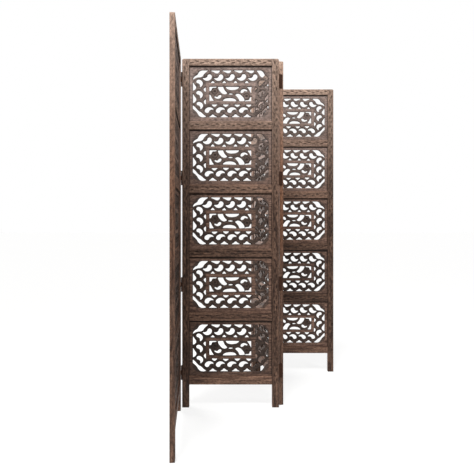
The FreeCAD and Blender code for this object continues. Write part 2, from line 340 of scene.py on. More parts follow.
def fold_axis(right_edge, at_back):
    """A fold's axis in a panel's own frame."""
    x = PANEL_WIDTH + EDGE_GAP / 2 if right_edge else -EDGE_GAP / 2
    y = FRAME_THICKNESS + AXIS_OFFSET if at_back else -AXIS_OFFSET
    return Matrix.Translation((x, y, 0))


def hung(neighbour, right_edge, at_back, degrees):
    """Where a panel stands, turned from in line with its neighbour about their fold."""
    turn = Matrix.Rotation(math.radians(degrees), 4, "Z")
    own_axis = fold_axis(not right_edge, at_back)
    return neighbour @ fold_axis(right_edge, at_back) @ turn @ own_axis.inverted()


def panel_placements():
    """Where each panel stands; one end of each fold's range has its panels in line."""
    ranges = {joint["name"]: joint["range_deg"] for joint in frame["joints"]}
    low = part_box("panel_2_left_stile")[0]
    second = Matrix.Translation((low.x / MM, low.y / MM, 0))
    first = hung(second, False, False, -ranges["fold_1_2"][0])
    third = hung(second, True, True, -ranges["fold_2_3"][0])
    fourth = hung(third, True, False, -ranges["fold_3_4"][1])
    return {1: first, 2: second, 3: third, 4: fourth}


def half_turn(x, y):
    """A half turn about an upright line."""
    line = Matrix.Translation((x, y, 0))
    return line @ Matrix.Rotation(math.pi, 4, "Z") @ line.inverted()


def new_object(name, data):
    """A linked object for a mesh, curve, lamp or camera."""
    made = bpy.data.objects.new(name, data)
    bpy.context.scene.collection.objects.link(made)
    return made


def mesh_from(bm):
    """Writes a bmesh to a new mesh and frees it."""
    mesh = bpy.data.meshes.new("work")
    bm.to_mesh(mesh)
    bm.free()
    return mesh


def baked(made):
    """The mesh an object shows with its modifiers, after which the object is gone."""
    depsgraph = bpy.context.evaluated_depsgraph_get()
    mesh = bpy.data.meshes.new_from_object(made.evaluated_get(depsgraph))
    bpy.data.objects.remove(made)
    return mesh


def coordinates(mesh):
    """A mesh's vertices as an array."""
    flat = np.empty(len(mesh.vertices) * 3, np.float32)
    mesh.vertices.foreach_get("co", flat)
    return flat.reshape(-1, 3).astype(float)


def set_coordinates(mesh, points):
    """Moves a mesh's vertices."""
    mesh.vertices.foreach_set("co", points.astype(np.float32).ravel())
    mesh.update()


def set_attribute(mesh, name, values, domain="POINT"):
    """Writes a value for each vertex or face, a number or a vector."""
    kind, key = ("FLOAT_VECTOR", "vector") if values.ndim > 1 else ("FLOAT", "value")
    attribute = mesh.attributes.new(name, kind, domain)
    attribute.data.foreach_set(key, values.astype(np.float32).ravel())


def add_box(bm, low, high):
    """Adds a box between two corners to a bmesh."""
    low, high = Vector(low), Vector(high)
    matrix = Matrix.Translation((low + high) / 2) @ Matrix.Diagonal((high - low).to_4d())
    bmesh.ops.create_cube(bm, size=1, matrix=matrix)


def round_edges(bm, edges, radius, segments):
    """Rounds edges to a radius."""
    bmesh.ops.bevel(
        bm, geom=edges, offset=radius, offset_type="OFFSET", segments=segments, profile=0.5,
        affect="EDGES", material=-1)


def cut(mesh, cutters):
    """A mesh with the shapes of a bmesh carved out of it."""
    target, cutter = new_object("work", mesh), new_object("cutter", mesh_from(cutters))
    carving = target.modifiers.new("Carving", "BOOLEAN")
    carving.operation = "DIFFERENCE"
    carving.solver = "MANIFOLD"
    carving.object = cutter
    carved = baked(target)
    bpy.data.objects.remove(cutter)
    return carved


def smooth_shaded(mesh, degrees):
    """Shades a mesh smooth except over edges sharper than an angle."""
    mesh.shade_smooth()
    mesh.set_sharp_from_angle(angle=math.radians(degrees))


def place_piece(name, source, matrix, panel, nodes, material, seed=None, laid=None):
    """A finished piece: a copy of a mesh in its place, riding on its panel's body.

    A piece of wood has a seed for chance. Its grain attribute holds the wood's own coordinates
    in metres, z along the grain, each piece cut from another part of the plank.
    """
    mesh = source.copy()
    mesh.name = name
    if seed:
        chance = random.Random(seed)
        shift = Vector([chance.uniform(-3, 3) for _ in range(3)])
        grain_turn = np.array((laid or Matrix()).to_3x3())
        grain = coordinates(mesh) @ grain_turn.T * MM + np.array(shift)
        set_attribute(mesh, "grain", grain)
        # a piece's tone, partly painted shade where the table darkens a shaded piece
        tone = PLANK_TONES_AND_SHADE.get(nodes[0], chance.random())
        set_attribute(mesh, "tone", np.full(len(grain), tone))
    mesh.transform(Matrix.Scale(MM, 4) @ matrix)
    mesh.update()
    mesh.materials.clear()
    mesh.materials.append(material)
    piece = new_object(name, mesh)
    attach(piece, f"panel_{panel}")
    if nodes:
        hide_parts(*nodes)


def add_vine_cutters(bm, sizes, line, along, start, end):
    """Cutters of the vine on a face: leaf shaped pockets on alternate sides of its line.

    Beyond them an incised line runs on either side.
    """
    across, lie = (UP, LAID) if along.x else (SIDEWAYS, Matrix())
    half = Vector((
        sizes.pocket_width / MM / 2, sizes.pocket_depth / MM, sizes.pocket_length / MM / 2))
    periods = round((end - start) / (sizes.vine_period / MM))
    step = (end - start) / periods / 2
    for index in range(2 * periods):
        side = 1 if index % 2 else -1
        centre = line + along * (start + (index + 0.5) * step)
        centre += side * sizes.pocket_offset / MM * across
        lean = Matrix.Rotation(math.radians(POCKET_LEAN * side), 4, "Y")
        matrix = Matrix.Translation(centre) @ lean @ lie @ Matrix.Diagonal(half.to_4d())
        bmesh.ops.create_uvsphere(bm, u_segments=12, v_segments=8, radius=1, matrix=matrix)
    length, width = end - start, sizes.line_width / MM
    size = Vector((length, width, width) if along.x else (width, width, length)).to_4d()
    on_edge = Matrix.Rotation(math.radians(45), 4, along)
    for side in (-1, 1):
        middle = line + along * (start + end) / 2 + side * sizes.line_offset / MM * across
        matrix = Matrix.Translation(middle) @ on_edge @ Matrix.Diagonal(size)
        bmesh.ops.create_cube(bm, size=1, matrix=matrix)


def mark_bar(mesh, is_stile, centre):
    """Marks each vertex of a stile or rail with stain and painted shade in its vine and at a rail's
    shoulders, and with wear and a painted highlight on rounded edges and a stile's outer face.
    """
    points = coordinates(mesh)
    side = points[:, 0 if is_stile else 2]
    depth = np.minimum(points[:, 1], FRAME_THICKNESS - points[:, 1])
    across = np.abs(side - centre)
    # stain and painted shade, darker deeper in the vine's pockets
    hollow = np.where(across < VINE_BAND, np.clip(depth / STAIN_AND_SHADE_DEPTH, 0, 1), 0)
    # wear and a painted highlight on the rounded long edges
    rounding = (across > VINE_BAND) & (depth > 0.01) & (depth < GROOVE_Y - 1)
    worn = np.where(rounding, 0.7, 0)
    if is_stile:
        # wear and painted light on a stile's outer edge face
        worn = np.where(side < 0.01, 1.0, worn)
    else:
        # painted shade at a rail's shoulders, where it meets a stile
        hollow = np.where(np.abs(points[:, 0]) > OPENING_WIDTH / 2 - 0.5, 1.2, hollow)
    set_attribute(mesh, "hollow", hollow * 0.7)
    set_attribute(mesh, "worn", worn)
    smooth_shaded(mesh, 32)


def stile_mesh(sizes):
    """Left stile: rounded top corner, stopped groove and a vine on both faces."""
    bm = bmesh.new()
    add_box(bm, (0, 0, 0), (STILE_WIDTH, FRAME_THICKNESS, PANEL_HEIGHT))
    corner = [
        e for e in bm.edges if all(v.co.x < 1 and v.co.z > PANEL_HEIGHT - 1 for v in e.verts)]
    round_edges(bm, corner, TOP_CORNER_RADIUS, 6)
    rim = [e for e in bm.edges if e.calc_face_angle(0) > math.radians(40)]
    round_edges(bm, rim, sizes.edge_rounding / MM, 2)
    cutters = bmesh.new()
    add_box(
        cutters, (STILE_WIDTH - GROOVE_DEPTH, GROOVE_Y, LEG_HEIGHT),
        (STILE_WIDTH + OVERRUN, GROOVE_Y + GROOVE_WIDTH, PANEL_HEIGHT + OVERRUN))
    for face_y in (0, FRAME_THICKNESS):
        add_vine_cutters(
            cutters, sizes, Vector((STILE_WIDTH / 2, face_y, 0)), UP,
            LEG_HEIGHT + VINE_END, PANEL_HEIGHT - VINE_END)
    mesh = cut(mesh_from(bm), cutters)
    mark_bar(mesh, True, STILE_WIDTH / 2)
    return mesh


def rail_mesh(sizes, height, board_below, board_above):
    """A rail about the middle of its length, with its lower face at z zero.

    It is carved where a board stands below it, so the bottom rail is plain.
    """
    half, shoulder = RAIL_LENGTH / 2, OPENING_WIDTH / 2
    far = half + OVERRUN
    bm = bmesh.new()
    add_box(bm, (-half, 0, 0), (half, FRAME_THICKNESS, height))
    rim = [e for e in bm.edges if abs(e.verts[0].co.x - e.verts[1].co.x) > half]
    round_edges(bm, rim, sizes.edge_rounding / MM, 2)
    cutters = bmesh.new()
    groove = (GROOVE_Y, GROOVE_Y + GROOVE_WIDTH)
    if board_below:
        add_box(cutters, (-far, groove[0], -OVERRUN), (far, groove[1], GROOVE_DEPTH))
    if board_above:
        low, high = height - GROOVE_DEPTH, height + OVERRUN
        add_box(cutters, (-far, groove[0], low), (far, groove[1], high))
    for face_y in (0, FRAME_THICKNESS) if board_below else ():
        line = Vector((0, face_y, height / 2))
        add_vine_cutters(cutters, sizes, line, SIDEWAYS, -shoulder, shoulder)
    grooved = cut(mesh_from(bm), cutters)
    shoulders = bmesh.new()
    tenon = (groove[0] + TENON_CLEARANCE, groove[1] - TENON_CLEARANCE)
    for side in (-1, 1):
        x = sorted((side * shoulder, side * far))
        for y in ((-OVERRUN, tenon[0]), (tenon[1], FRAME_THICKNESS + OVERRUN)):
            add_box(shoulders, (x[0], y[0], -OVERRUN), (x[1], y[1], height + OVERRUN))
    bm = bmesh.new()
    bm.from_mesh(cut(grooved, shoulders))
    # cuts near each shoulder, over which the painted shade at the joint with a stile fades
    for side in (-1, 1):
        bmesh.ops.bisect_plane(
            bm, geom=bm.verts[:] + bm.edges[:] + bm.faces[:],
            plane_co=(side * (shoulder - SHOULDER_SHADE), 0, 0), plane_no=(1, 0, 0))
    mesh = mesh_from(bm)
    mark_bar(mesh, False, height / 2)
    return mesh


def turned(points, degrees):
    """Outline points turned about zero."""
    cosine, sine = math.cos(math.radians(degrees)), math.sin(math.radians(degrees))
    return [(x * cosine - z * sine, x * sine + z * cosine, sharp) for x, z, sharp in points]


def mirrored(points):
    """Outline points swapped left for right."""
    return [(-x, z, sharp) for x, z, sharp in points]


def moved(points, x, z):
    """Outline points moved along and up."""
    return [(x + u, z + w, sharp) for u, w, sharp in points]


def rings():
    """Each scroll ring of a board: middle, radius along and across, turn and mirroring."""
    found = []
    for index in range(-2, 3):
        for (x, z, along, across), turn in ((UPPER_ROW, 0), (LOWER_ROW, 180)):
            found.append((x + index * RING_PITCH, z, along, across, turn, False))
    x, z, along, across = COLUMN
    for index in range(-1, 2):
        for side in (-1, 1):
            found.append((side * x, z + index * COLUMN_PITCH, along, across, 90, side > 0))
    return found


def openings():
    """Outlines of every opening of a board, about its middle."""
    outlines = []
    for x, z, along, across, turn, mirror in rings():
        comma = [(u * RING_RADIUS * along, w * RING_RADIUS * across, s) for u, w, s in COMMA]
        comma = turned(comma, turn)
        outlines.append(moved(mirrored(comma) if mirror else comma, x, z))
    for index in range(4):
        x = (index - 1.5) * RING_PITCH + UPPER_ROW[0]
        outlines += [moved(gap, x, 0) for gap in UPPER_GAPS + LOWER_GAPS]
    for outline in SIDE_OPENINGS:
        outlines += [outline, mirrored(outline)]
    outlines += UPPER_SLOTS
    for outline, shift in zip(WINDOW_OPENINGS, WINDOW_SHIFTS):
        outlines += [outline, moved(turned(outline, 180), shift, 0)]
    return outlines + [WINDOW_SLIVER]


def drawn(outlines, smooth_sides, fill="NONE", thickness=0.0):
    """The flat mesh of closed outlines, smooth except at their sharp points, face up."""
    curve = bpy.data.curves.new("outlines", "CURVE")
    curve.dimensions = "2D"
    curve.fill_mode = fill
    curve.extrude = thickness / 2
    for points in outlines:
        spline = curve.splines.new("BEZIER")
        spline.bezier_points.add(len(points) - 1)
        spline.use_cyclic_u = True
        spline.resolution_u = smooth_sides
        for target, (x, z, sharp) in zip(spline.bezier_points, points):
            target.co = (x, z, 0)
            target.handle_left_type = target.handle_right_type = "VECTOR" if sharp else "AUTO"
    mesh = baked(new_object("outlines", curve))
    bpy.data.curves.remove(curve)
    return mesh


def pierced_blank():
    """The board as sawn, a plate with every opening through it, standing behind y zero."""
    corners = ((-1, -1), (1, -1), (1, 1), (-1, 1))
    outside = [(x * BOARD_WIDTH / 2, z * BOARD_HEIGHT / 2, 1) for x, z in corners]
    blank = drawn([outside] + openings(), 6, "BOTH", BOARD_THICKNESS)
    blank.transform(Matrix.Translation((0, BOARD_THICKNESS / 2, 0))
                    @ Matrix.Rotation(math.radians(90), 4, "X"))
    return blank


def opening_edges():
    """A search tree of points along the edges of all openings."""
    points = []
    for outline in openings():
        line = coordinates(drawn([outline], 12))
        for start, end in zip(line, np.roll(line, -1, axis=0)):
            steps = max(1, int(np.linalg.norm(end - start) / EDGE_STEP))
            points.extend(start + (end - start) * i / steps for i in range(steps))
    tree = KDTree(len(points))
    for index, point in enumerate(points):
        tree.insert(point, index)
    tree.balance()
    return tree


def soft_step(values, low, high):
    """Zero below one value, one above another, and smooth between."""
    share = np.clip((values - low) / (high - low), 0, 1)
    return share * share * (3 - 2 * share)


def carved_line(distance, line):
    """How deep a carved line is at a distance from its middle."""
    depth, half_width = line
    return depth * np.exp(-((distance / half_width) ** 2))


def carving_depth(points, tree, sizes):
    """How far the board's face is cut down at each point, and how much it is lattice."""
    x, z = points[:, 0], points[:, 2]
    edge = np.array([tree.find((u, w, 0))[2] for u, _, w in points])
    field = np.minimum(FIELD[0] - np.abs(x), FIELD[1] - np.abs(z))
    corner = (FIELD_CORNER_CUT - np.abs(x) - np.abs(z)) * 0.7
    inside = soft_step(np.minimum(field, corner), -1.0, 2.5)
    bars = np.maximum(np.abs(x) - WINDOW_FRAME[0], np.abs(z) - WINDOW_FRAME[1])
    window = np.maximum(np.abs(x) - WINDOW[0], np.abs(z) - WINDOW[1])
    on_bars = soft_step(-bars, -1.0, 1.0) * soft_step(window, -1.0, 1.0)
    lattice = inside * (1 - on_bars)
    depth = sizes.lattice_drop / MM * lattice
    depth += sizes.strand_rounding / MM * (1 - np.clip(edge / STRAND_EASE, 0, 1)) ** 2
    for ring_x, ring_z, along, across, turn, mirror in rings():
        u, w = x - ring_x, z - ring_z
        if mirror:
            u = -u
        cosine, sine = math.cos(math.radians(turn)), math.sin(math.radians(turn))
        u, w = (u * cosine + w * sine) / along, (w * cosine - u * sine) / across
        near = (u * u + w * w < RING_REACH ** 2) * lattice
        ring = np.hypot(u - RING_LINE_MIDDLE[0], w - RING_LINE_MIDDLE[1])
        eye = np.hypot(u - EYE_MIDDLE[0], w - EYE_MIDDLE[1])
        depth += near * carved_line(ring - RING_LINE_RADIUS, RING_LINE)
        depth += near * carved_line(eye - EYE_RADIUS, EYE_LINE)
        depth -= near * EYE_RISE * soft_step(-eye, -6.8, -5.0)
        depth += near * carved_line(eye, EYE_HOLLOW)
    for side in (-1, 1):
        u, w = x + side * ROSETTE[0], z - side * ROSETTE[1]
        radius, angle = np.hypot(u, w), np.arctan2(w, u)
        depth += carved_line(radius - ROSETTE_RADIUS - 1, ROSETTE_LINE)
        petals = np.abs(np.sin(angle * PETALS / 2)) ** 0.5
        band = soft_step(radius, 6.0, 7.5) * soft_step(-radius, -ROSETTE_RADIUS, -11.0)
        depth += band * (PETAL_CUT * (1 - petals) - PETAL_RISE)
        depth += carved_line(radius, ROSETTE_HOLLOW)
    return np.clip(depth, 0, DEEPEST_CUT), lattice


def board_mesh(sizes):
    """A carved board about its middle, front face at y zero, alike on both faces."""
    board = new_object("jali board", pierced_blank())
    grid = board.modifiers.new("Grid", "REMESH")
    grid.mode = "VOXEL"
    grid.voxel_size = sizes.carving_grid / MM
    mesh = baked(board)
    tree = opening_edges()
    points = coordinates(mesh)
    depth = carving_depth(points, tree, sizes)[0]
    middle = BOARD_THICKNESS / 2
    points[:, 1] = middle + (points[:, 1] - middle) * (1 - depth / middle)
    set_coordinates(mesh, points)
    board = new_object("jali board", mesh)
    thin = board.modifiers.new("Thin", "DECIMATE")
    thin.ratio = sizes.board_triangles / (2 * len(mesh.polygons))
    mesh = baked(board)
    points = coordinates(mesh)
    depth, lattice = carving_depth(points, tree, sizes)
    # stain and painted shade, darker where the carving is deeper, most along the openings' rounded
    # edges
    set_attribute(mesh, "hollow", np.clip(depth / 1.4 - 0.5, 0, 1))
    set_attribute(mesh, "strand", lattice)
    # where each vertex lies on the board, which places the painted shadow beside the stiles and under
    # the rails
    set_attribute(mesh, "sight", points * MM)
    # walls of openings, on which the stain and painted shade are weaker
    normals = np.empty(len(mesh.polygons) * 3, np.float32)
    mesh.polygons.foreach_get("normal", normals)
    set_attribute(mesh, "wall", np.clip(1.4 - 2.5 * np.abs(normals[1::3]), 0, 1), "FACE")
    smooth_shaded(mesh, 38)
    return mesh


def add_node(tree, kind, sockets=(), output=0, **settings):
    """Adds a node with its settings and links; returns an output, or all of them for None.

    Sockets come in their order or by their keys, each with a value or another node's output.
    A Map Range takes a value, the range it comes from and the range it goes to. A colour Mix
    has its share at 0, its colours at 6 and 7 and its result at 2.
    """
    node = tree.nodes.new("ShaderNode" + kind)
    for name, value in settings.items():
        setattr(node, name, value)
    keyed = sockets if isinstance(sockets, dict) else dict(enumerate(sockets))
    for key, value in keyed.items():
        if isinstance(value, bpy.types.NodeSocket):
            tree.links.new(value, node.inputs[key])
        else:
            node.inputs[key].default_value = value
    return node.outputs if output is None else node.outputs[output]


def new_material(name):
    """An empty material, and the function that adds nodes to it."""
    material = bpy.data.materials.new(name)
    material.use_nodes = True
    material.node_tree.nodes.clear()
    return material, functools.partial(add_node, material.node_tree)


def per_metre(across_mm, along_mm):
    """Mapping scale that makes features of these sizes across and along the grain."""
    return (1 / (across_mm * MM), 1 / (across_mm * MM), 1 / (along_mm * MM))


def mango_wood(name, colours, pieces):
    """Mango wood, sawn, hand carved, stained walnut brown and waxed.

    It gives the eye long soft streaks a few millimetres wide, short dark pores, stain and painted shade
    in the carving, painted shadow beside and under the frame, painted shade on undersides, rubbed edges
    with a painted highlight, and a paler bloom of wax towards the top, partly painted light from above.
    """
    material, add = new_material(name)
    grain, sight = (
        add("Attribute", output="Vector", attribute_name=key) for key in ("grain", "sight"))
    hollow, strand, tone, worn, wall = (
        add("Attribute", output="Fac", attribute_name=key)
        for key in ("hollow", "strand", "tone", "worn", "wall"))
    patterns = []
    for across, along, detail, roughness, distortion in WOOD_PATTERNS:
        place = add("Mapping", {"Vector": grain, "Scale": per_metre(across, along)})
        patterns.append(add("TexNoise", {
            "Vector": place, "Scale": 1.0, "Detail": detail, "Roughness": roughness,
            "Distortion": distortion}))
    streaks, pores, clouds, mottles = patterns

    # the bare wood
    streak_share = add("MapRange", (streaks, 0.36, 0.64))
    pore_share = add("MapRange", (pores, 0.56, 0.70, 0, 0.55))

    # edges rubbed bare, most where hands reach; on the rounded edges also a painted highlight
    height = add("SeparateXYZ", (add("TexCoord", output="Object"),), "Z")
    cloudy = add("MapRange", (clouds, 0.3, 0.7, 0.5, 1.05))
    handled = add("MapRange", (height, 0.7, 1.1, 0.15, 1.2))
    often = add("Math", (handled, tone), operation="MULTIPLY")
    rubbing = add("Math", (cloudy, often), operation="MULTIPLY")
    wear_and_highlight_share = add("Math", (worn, rubbing), operation="MULTIPLY")

    # the darker, greyer strands, and pale wax in clouds, more towards the top and less on the strands;
    # the paler top is partly painted light from above
    strand_share = add("Math", (strand, 0.8), operation="MULTIPLY")
    # painted light from above, with wax: paler towards the top
    upper = add("MapRange", (height, 0.9, 1.85))
    rising = add("Math", (upper, 1.7), operation="POWER")
    bloom = add("Math", (rising, cloudy), operation="MULTIPLY")
    holding = add("MapRange", (strand, 0, 1, 1.0, 0.7))
    waxed_and_top_lit_share = add("Math", (bloom, holding), operation="MULTIPLY")

    # painted shadow on the boards beside the stiles and under the rails, stain and painted shade in the
    # carving, and painted shade on undersides
    reach = add("SeparateXYZ", (sight,), None)
    sideways = add("Math", (reach["X"],), operation="ABSOLUTE")
    side, top = OPENING_WIDTH / 2 * MM, OPENING_HEIGHT / 2 * MM
    # painted shadow on a board beside each stile and under each rail
    beside = add("MapRange", (sideways, side - 7 * MM, side - 3 * MM, 0, 0.8))
    under = add("MapRange", (reach["Z"], top - 9 * MM, top - 6 * MM))
    corner = add("Math", (beside, under), operation="MAXIMUM")
    # painted shade on faces that look down
    facing = add("SeparateXYZ", (add("NewGeometry", output="True Normal"),), "Z")
    beneath = add("MapRange", (facing, -0.6, -0.9))
    carved_and_underside_shade = add("Math", (hollow, beneath), operation="MAXIMUM")
    open_face = add("MapRange", (wall, 0, 1, 1.0, 0.3))
    carved = add("Math", (carved_and_underside_shade, open_face), operation="MULTIPLY")
    gathered = add("Math", (carved, corner), operation="MAXIMUM")
    stain_and_shade_share = add("Math", (gathered, 0.85), operation="MULTIPLY")

    # each colour over the ones before
    light, dark, waxed_and_top_lit = (getattr(colours, f"{pieces}_{end}") for end in ("light", "dark", "waxed_and_top_lit"))
    colour = dark
    for share, layer in (
            (streak_share, light), (pore_share, colours.hollow), (wear_and_highlight_share, colours.worn),
            (strand_share, colours.lattice), (waxed_and_top_lit_share, waxed_and_top_lit), (stain_and_shade_share, colours.hollow)):
        colour = add("Mix", {0: share, 6: colour, 7: layer}, 2, data_type="RGBA")

    # lighter and darker planks, partly painted shade, and mottles
    mottle = add("MapRange", (mottles, 0.3, 0.7, 0.55, 1.5))
    plank = add("MapRange", (tone, 0, 1, 0.78, 1.35))
    shade = add("Math", (mottle, plank), operation="MULTIPLY")
    finished = add("VectorMath", {0: colour, "Scale": shade}, operation="SCALE")
    roughness = add("MapRange", (streaks, 0.3, 0.7, 0.5, 0.72))
    relief = add("Math", (streaks, pore_share), operation="SUBTRACT")
    bump = add("Bump", {"Height": relief, "Strength": 0.5, "Distance": 0.0006})
    shader = add("BsdfPrincipled", {
        "Base Color": finished, "Roughness": roughness, "Normal": bump, "IOR": 1.5,
        "Specular IOR Level": 0.18})
    add("OutputMaterial", {"Surface": shader}, None)
    return material


def plated_steel(name, colours):
    """Pressed steel with an antique copper plating, dark and dull.

    It gives the eye a soft, dark red-brown shine with nearly black patches.
    """
    material, add = new_material(name)
    patches = add("TexNoise", {
        "Vector": add("TexCoord", output="Object"), "Scale": 1 / (6 * MM), "Detail": 4.0,
        "Roughness": 0.6})
    tarnished = add("MapRange", (patches, 0.45, 0.7, 0, 0.7))
    tints = {0: tarnished, 6: colours.hinge, 7: linear(TARNISH)}
    colour = add("Mix", tints, 2, data_type="RGBA")
    roughness = add("MapRange", (patches, 0, 1, 0.42, 0.68))
    bump = add("Bump", {"Height": patches, "Strength": 0.2, "Distance": 0.0001})
    shader = add("BsdfPrincipled", {
        "Base Color": colour, "Metallic": 1.0, "Roughness": roughness, "Normal": bump})
    add("OutputMaterial", {"Surface": shader}, None)
    return material


def plainly_seen(add):
    """One where the camera, a reflection or a look through glass sees it, otherwise zero."""
    rays = add("LightPath", output=None)
    seen = add("Math", (rays["Is Camera Ray"], rays["Is Glossy Ray"]), operation="MAXIMUM")
    return add("Math", (seen, rays["Is Transmission Ray"]), operation="MAXIMUM")


def studio_paper(colour):
    """Matt white paper, which the camera and reflections see partly lit from behind."""
    material, add = new_material("Studio paper")
    paper = add("BsdfDiffuse", {"Color": colour})
    glow = add("Emission", {"Strength": 1.0})
    share = add("Math", (plainly_seen(add), 0.8), operation="MULTIPLY")
    mixed = add("MixShader", (share, paper, glow))
    add("OutputMaterial", {"Surface": mixed}, None)
    return material


def material_named(name, make, *values):
    """A material, made the first time it is asked for."""
    return bpy.data.materials.get(name) or make(name, *values)


def frame_wood(colours):
    """The wood of stiles and rails."""
    return material_named("Stained mango wood, frame", mango_wood, colours, "frame")


class SCREEN_OT_carve_stiles(bpy.types.Operator):
    """Carve the eight stiles, each with its leg, groove and running vine"""

    bl_idname = "screen.carve_stiles"
    bl_label = "Carve stiles"

    def execute(self, context):
        source = stile_mesh(context.scene.carving_sizes)
        wood = frame_wood(context.scene.finish_colours)
        turn = half_turn(PANEL_WIDTH / 2, FRAME_THICKNESS / 2)
        for panel, place in panel_placements().items():
            for edge, own in (("left", Matrix()), ("right", turn)):
                place_piece(
                    f"stile_{panel}_{edge}", source, place @ own, panel,
                    [f"panel_{panel}_{edge}_stile"], wood, f"stile {panel} {edge}")
        return {"FINISHED"}


class SCREEN_OT_carve_rails(bpy.types.Operator):
    """Carve the top, middle and bottom rails with their tenons and grooves"""

    bl_idname = "screen.carve_rails"
    bl_label = "Carve rails"

    def execute(self, context):
        sizes = context.scene.carving_sizes
        wood = frame_wood(context.scene.finish_colours)
        bottom = rail_mesh(sizes, BOTTOM_RAIL_HEIGHT, False, True)
        middle = rail_mesh(sizes, MIDDLE_RAIL_HEIGHT, True, True)
        top = rail_mesh(sizes, TOP_RAIL_HEIGHT, True, False)
        rails = [("bottom_rail", bottom, LEG_HEIGHT)]
        for index in range(1, BOARDS_PER_PANEL):
            z = FIRST_OPENING_Z + index * OPENING_PITCH - MIDDLE_RAIL_HEIGHT
            rails.append((f"middle_rail_{index}", middle, z))
        rails.append(("top_rail", top, PANEL_HEIGHT - TOP_RAIL_HEIGHT))
        for panel, place in panel_placements().items():
            for name, source, z in rails:
                own = Matrix.Translation((PANEL_WIDTH / 2, 0, z))
                place_piece(
                    f"rail_{panel}_{name}", source, place @ own, panel,
                    [f"panel_{panel}_{name}"], wood, f"{name} {panel}", LAID)
        return {"FINISHED"}


class SCREEN_OT_carve_boards(bpy.types.Operator):
    """Saw and carve the twenty pierced jali boards"""

    bl_idname = "screen.carve_boards"
    bl_label = "Carve jali boards"

    def execute(self, context):
        source = board_mesh(context.scene.carving_sizes)
        colours = context.scene.finish_colours
        wood = material_named("Stained mango wood, jali boards", mango_wood, colours, "board")
        turn = half_turn(0, BOARD_THICKNESS / 2)
        flat = coordinates(source)
        fade = soft_step(FIELD[0] + WANDER_MARGIN - np.abs(flat[:, 0]), 0, WANDER_FADE)
        fade *= soft_step(FIELD[1] + WANDER_MARGIN - np.abs(flat[:, 2]), 0, WANDER_FADE)
        lowest = FIRST_OPENING_Z + OPENING_HEIGHT / 2 - BOARD_EDGE_CLEARANCE / 2
        for panel, place in panel_placements().items():
            for index in range(BOARDS_PER_PANEL):
                chance = random.Random(f"board {panel} {index}")
                points = flat.copy()
                for axis, other in ((0, 2), (2, 0)):
                    wave = flat[:, other] / chance.uniform(22, 38) + chance.uniform(0, 6)
                    ripple = flat[:, axis] / chance.uniform(30, 55) + chance.uniform(0, 6)
                    points[:, axis] += HAND_WANDER * fade * np.sin(wave) * np.cos(ripple)
                board = source.copy()
                set_coordinates(board, points)
                z = lowest + index * OPENING_PITCH
                own = Matrix.Translation((PANEL_WIDTH / 2, BOARD_FRONT_Y, z))
                if panel > 2:
                    own = own @ turn
                place_piece(
                    f"jali_board_{panel}_{index + 1}", board, place @ own, panel,
                    [f"panel_{panel}_insert_{index + 1}"], wood,
                    f"board {panel} {index}", LAID)
                bpy.data.meshes.remove(board)
        return {"FINISHED"}


def turn_on_lathe(bm, profile, steps, closed):
    """Turns a profile of radius and height about the z axis; a closed one makes a ring."""
    verts = [bm.verts.new((radius, 0, z)) for radius, z in profile]
    first = 0 if closed else 1
    edges = [bm.edges.new((verts[i - 1], verts[i])) for i in range(first, len(verts))]
    bmesh.ops.spin(
        bm, geom=verts + edges, cent=(0, 0, 0), axis=(0, 0, 1), angle=math.tau,
        steps=steps, use_merge=True)
    bmesh.ops.remove_doubles(bm, verts=bm.verts, dist=0.001)
    bmesh.ops.recalc_face_normals(bm, faces=bm.faces)


def screw_y(z):
    """Depth behind the axis of the screw at a height on a leaf: they stand in a zigzag."""
    return AXIS_OFFSET + LEAF_WIDTH * SCREW_WIDTH_SHARES[0 if z else 1]


def leaf_mesh(rows):
    """A hinge leaf about its axis, plate on the side of positive x and behind the axis."""
    half = LEAF_LENGTH / 2
    length = (LEAF_LENGTH - (KNUCKLES - 1) * KNUCKLE_CLEARANCE) / KNUCKLES
    plate_x = (EDGE_GAP / 2 - LEAF_THICKNESS, EDGE_GAP / 2)
    bm = bmesh.new()
    add_box(
        bm, (plate_x[0], AXIS_OFFSET, -half), (plate_x[1], AXIS_OFFSET + LEAF_WIDTH, half))
    corners = [
        e for e in bm.edges
        if all(v.co.y > AXIS_OFFSET + 1 for v in e.verts)
        and abs(e.verts[0].co.x - e.verts[1].co.x) > 1]
    round_edges(bm, corners, LEAF_CORNER_RADIUS, 4)
    holes = bmesh.new()
    for z in SCREW_HEIGHTS:
        matrix = Matrix.Translation((sum(plate_x) / 2, screw_y(z), z)) @ LAID
        bmesh.ops.create_cone(
            holes, cap_ends=True, segments=24, radius1=COUNTERSINK_RADII[0],
            radius2=COUNTERSINK_RADII[1], depth=LEAF_THICKNESS + 0.4, matrix=matrix)
    plate = new_object("leaf", cut(mesh_from(bm), holes))
    tongues, barrel = bmesh.new(), bmesh.new()
    end_radius = BARREL_RADIUS - BARREL_EASE
    for row in rows:
        low = -half + row * (length + KNUCKLE_CLEARANCE)
        high = low + length
        add_box(tongues, (plate_x[0], TONGUE_Y[0], low), (plate_x[1], TONGUE_Y[1], high))
        ring = [
            (BORE_RADIUS, low), (end_radius, low), (BARREL_RADIUS, low + BARREL_EASE),
            (BARREL_RADIUS, high - BARREL_EASE), (end_radius, high), (BORE_RADIUS, high)]
        turn_on_lathe(barrel, ring, 28, True)
    parts = [new_object("part", mesh_from(shape)) for shape in (tongues, barrel)]
    for part in parts:
        joining = plate.modifiers.new("Joining", "BOOLEAN")
        joining.operation = "UNION"
        joining.solver = "EXACT"
        joining.object = part
    mesh = baked(plate)
    for part in parts:
        bpy.data.objects.remove(part)
    smooth_shaded(mesh, 30)
    return mesh


